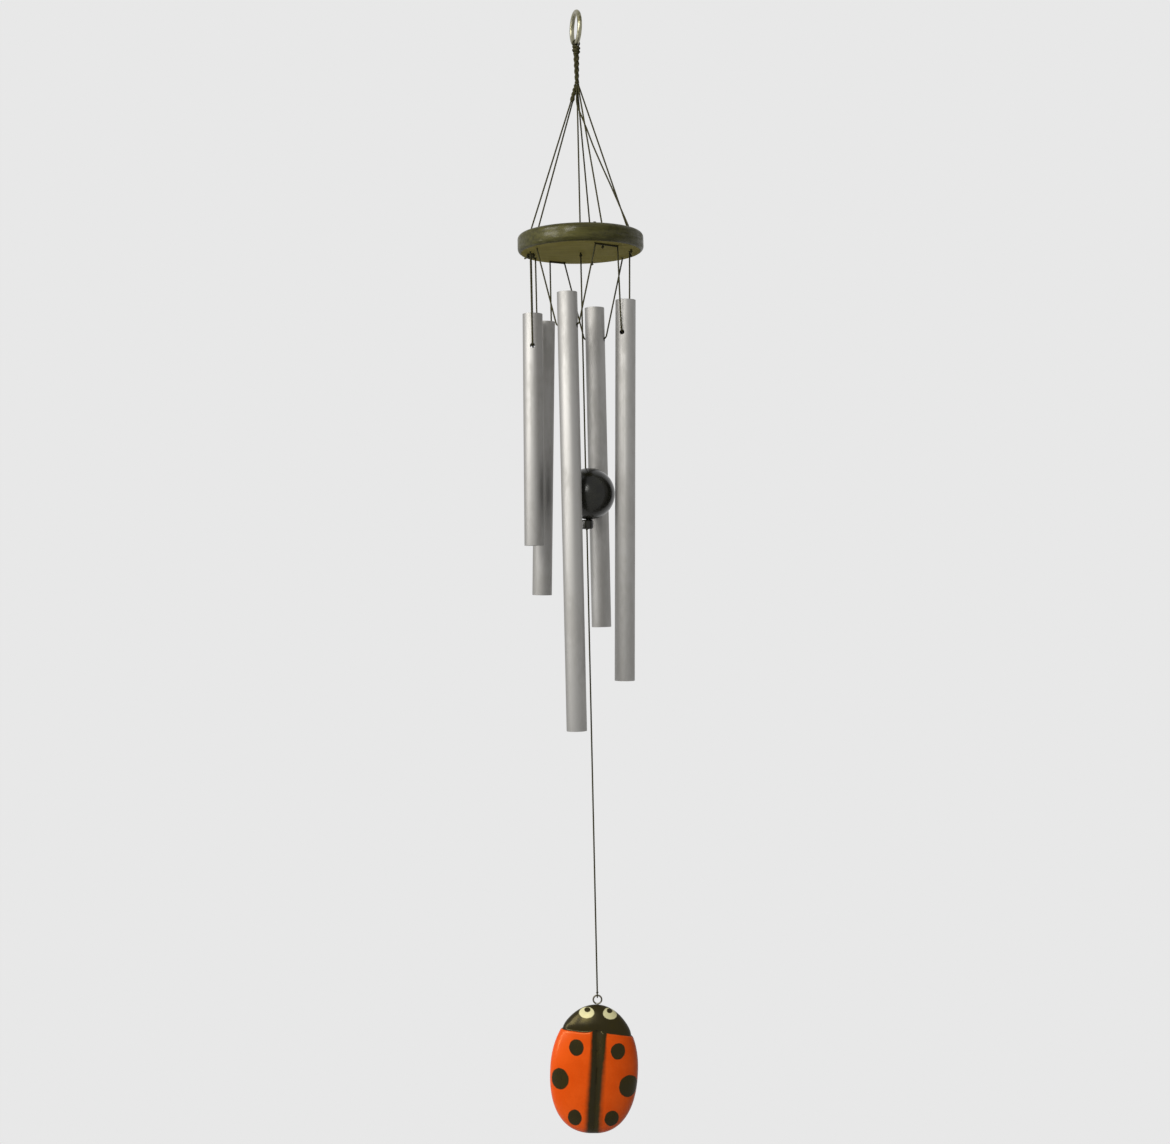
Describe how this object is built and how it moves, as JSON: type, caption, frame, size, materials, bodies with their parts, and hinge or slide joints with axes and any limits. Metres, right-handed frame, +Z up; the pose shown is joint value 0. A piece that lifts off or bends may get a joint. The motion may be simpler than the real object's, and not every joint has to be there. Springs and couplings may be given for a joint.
{
  "type": "wind chime",
  "caption": "Hanging wind chime: aluminium tubes in cord slings under a round wooden disc, a ball striker on the middle line and a carved ladybird as the wind sail.",
  "frame": {"origin": "centre of the hanging ring", "axes": "+Z up along the middle line, -Y the front"},
  "size_m": [0.0754, 0.0754, 0.6735],
  "materials": {
    "ring_metal": "nickel plated, worn",
    "cord": "waxed braided cord",
    "disc_wood": "dark stain, gloss lacquer",
    "tube_aluminium": "satin, drawn tube",
    "striker_lacquer": "black gloss lacquer",
    "eye_metal": "tarnished steel wire",
    "sail_paint": "painted and varnished wood"
  },
  "bodies": {
    "ring": {"hanging_ring": "ring_metal"},
    "neck": {"ring_hitch": "cord", "neck_plait": "cord"},
    "crown": {"gather_knot": "cord", "branch_knot": "cord", "crown_cord_left": "cord", "crown_cord_back_left": "cord", "crown_cord_back": "cord", "crown_cord_front": "cord", "crown_cord_right_front": "cord", "crown_cord_right_back": "cord", "centre_cord": "cord", "disc": "disc_wood", "anchor_knots": "cord", "run_cord_front": "cord", "run_cord_back": "cord"},
    "sling_1": {"sling_1": "cord"},
    "tube_1": {"tube_1": "tube_aluminium"},
    "sling_2": {"sling_2": "cord"},
    "tube_2": {"tube_2": "tube_aluminium"},
    "sling_3": {"sling_3": "cord"},
    "tube_3": {"tube_3": "tube_aluminium"},
    "sling_4": {"sling_4": "cord"},
    "tube_4": {"tube_4": "tube_aluminium"},
    "sling_5": {"sling_5": "cord"},
    "tube_5": {"tube_5": "tube_aluminium"},
    "centre_knot": {"centre_knot": "cord"},
    "striker": {"striker_cord": "cord", "striker_ball": "striker_lacquer", "stop_bead": "striker_lacquer"},
    "stop_knot": {"stop_knot": "cord"},
    "sail_line": {"sail_cord": "cord"},
    "eye_loop": {"eye_loop": "cord"},
    "sail": {"screw_eye": "eye_metal", "ladybird": "sail_paint"}
  },
  "joints": [
    {"name": "neck_swing", "type": "hinge", "parent": "ring", "child": "neck", "pos_m": [0, 0, -0.0092], "axis": [-0.2588, 0.9659, 0], "range_deg": [-20, 20]},
    {"name": "crown_swing", "type": "hinge", "parent": "neck", "child": "crown", "pos_m": [0, 0, -0.03685], "axis": [0.9659, 0.2588, 0], "range_deg": [-15, 15]},
    {"name": "sling_swing_1", "type": "hinge", "parent": "crown", "child": "sling_1", "pos_m": [-0.03, 0, -0.13576], "axis": [0, -1, 0], "range_deg": [-20, 2]},
    {"name": "tube_swing_1", "type": "hinge", "parent": "sling_1", "child": "tube_1", "pos_m": [-0.03, 0, -0.1899], "axis": [0, -1, 0], "range_deg": [-15, 2]},
    {"name": "sling_swing_2", "type": "hinge", "parent": "crown", "child": "sling_2", "pos_m": [-0.02325, 0.01816, -0.13576], "axis": [-0.6157, -0.788, 0], "range_deg": [-20, 2]},
    {"name": "tube_swing_2", "type": "hinge", "parent": "sling_2", "child": "tube_2", "pos_m": [-0.02325, 0.01816, -0.192], "axis": [-0.6157, -0.788, 0], "range_deg": [-15, 2]},
    {"name": "sling_swing_3", "type": "hinge", "parent": "crown", "child": "sling_3", "pos_m": [0.00769, 0.02368, -0.13576], "axis": [0.9511, -0.309, 0], "range_deg": [-1, 20]},
    {"name": "tube_swing_3", "type": "hinge", "parent": "sling_3", "child": "tube_3", "pos_m": [0.00769, 0.02368, -0.1833], "axis": [0.9511, -0.309, 0], "range_deg": [-1.4, 15]},
    {"name": "sling_swing_4", "type": "hinge", "parent": "crown", "child": "sling_4", "pos_m": [0.0255, -0.0103, -0.13576], "axis": [-0.3746, -0.9272, 0], "range_deg": [-0.4, 20]},
    {"name": "tube_swing_4", "type": "hinge", "parent": "sling_4", "child": "tube_4", "pos_m": [0.0255, -0.0103, -0.1845], "axis": [-0.3746, -0.9272, 0], "range_deg": [-0.6, 15]},
    {"name": "sling_swing_5", "type": "hinge", "parent": "crown", "child": "sling_5", "pos_m": [-0.00859, -0.02359, -0.13576], "axis": [0.9397, -0.342, 0], "range_deg": [-20, 1]},
    {"name": "tube_swing_5", "type": "hinge", "parent": "sling_5", "child": "tube_5", "pos_m": [-0.00859, -0.02359, -0.1813], "axis": [0.9397, -0.342, 0], "range_deg": [-15, 1.4]},
    {"name": "striker_side", "type": "hinge", "parent": "crown", "child": "centre_knot", "pos_m": [0, 0, -0.13645], "axis": [0, -1, 0], "range_deg": [-3, 0.6]},
    {"name": "striker_fore", "type": "hinge", "parent": "centre_knot", "child": "striker", "pos_m": [0, 0, -0.13645], "axis": [1, 0, 0], "range_deg": [-1, 1]},
    {"name": "sail_side", "type": "hinge", "parent": "striker", "child": "stop_knot", "pos_m": [0, 0, -0.30015], "axis": [0, -1, 0], "range_deg": [-25, 25]},
    {"name": "sail_fore", "type": "hinge", "parent": "stop_knot", "child": "sail_line", "pos_m": [0, 0, -0.30015], "axis": [1, 0, 0], "range_deg": [-25, 25]},
    {"name": "sail_turn", "type": "hinge", "parent": "sail_line", "child": "eye_loop", "pos_m": [0, 0, -0.57795], "axis": [0, 0, 1], "range_deg": [-180, 180]},
    {"name": "sail_rock", "type": "hinge", "parent": "eye_loop", "child": "sail", "pos_m": [0, 0, -0.583], "axis": [0, 1, 0], "range_deg": [-30, 30]}
  ]
}
